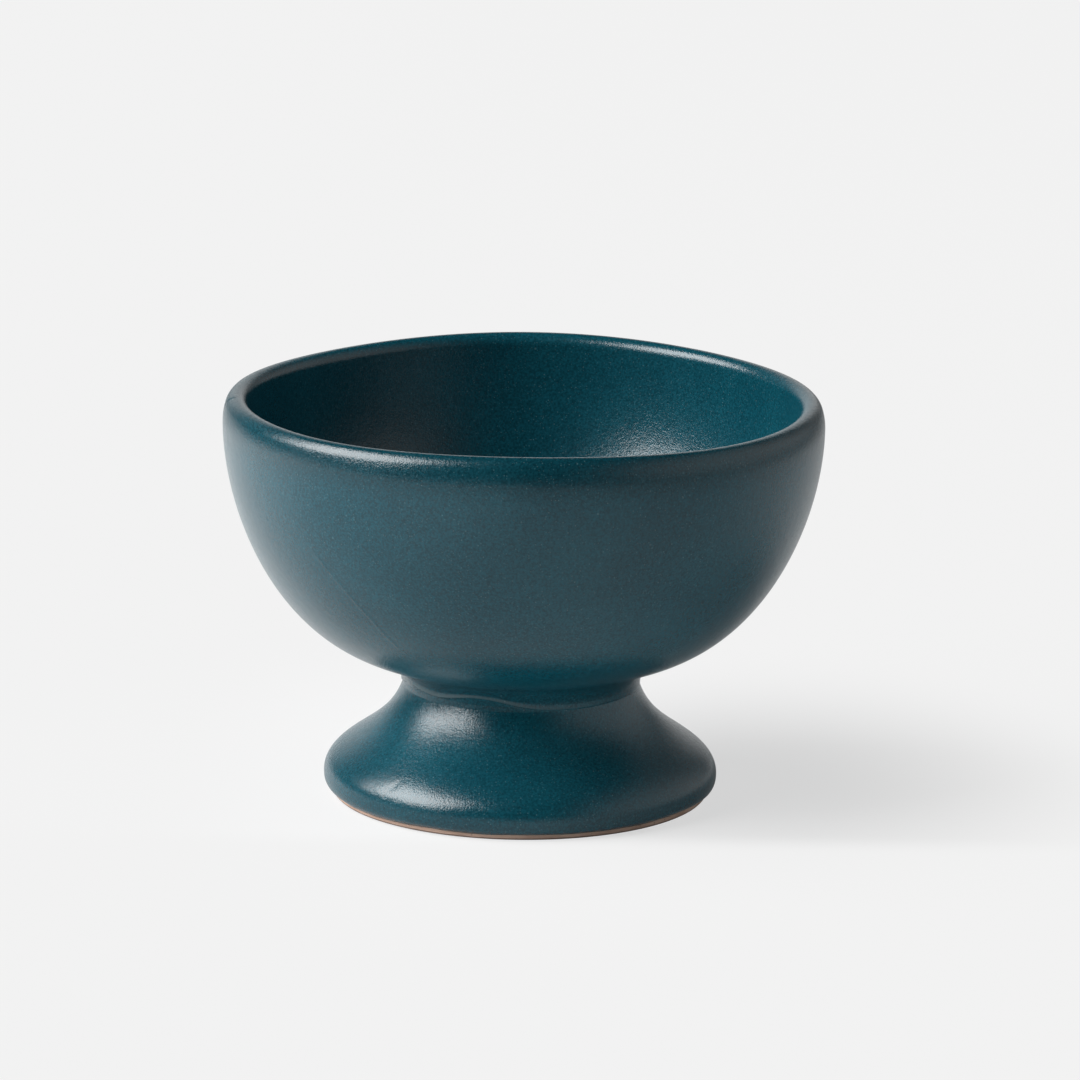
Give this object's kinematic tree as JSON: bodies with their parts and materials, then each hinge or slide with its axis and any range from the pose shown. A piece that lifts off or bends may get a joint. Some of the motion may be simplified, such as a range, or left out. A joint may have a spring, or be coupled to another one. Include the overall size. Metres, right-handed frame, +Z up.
{
  "type": "footed compote bowl",
  "caption": "Round stoneware compote bowl with a soft rolled lip on a hollow flared pedestal foot, satin glazed, bare clay on the standing ring; holds fruit or sweets.",
  "frame": {"origin": "centre of the flat standing ring under the foot", "axes": "+Z up along the axis that the bowl and foot were turned on; the pictured front faces -Y"},
  "size_m": [0.14, 0.14, 0.095],
  "materials": {
    "clay": "bare fired stoneware, fine grit",
    "slip": "thin glaze broken over the wiped bead",
    "glaze": "satin, finely specked"
  },
  "bodies": {
    "root": {"bowl": "clay", "pedestal_foot": "clay", "slip_joint": "slip", "bowl_glaze": "glaze", "foot_glaze": "glaze", "well_glaze": "glaze"}
  },
  "joints": []
}
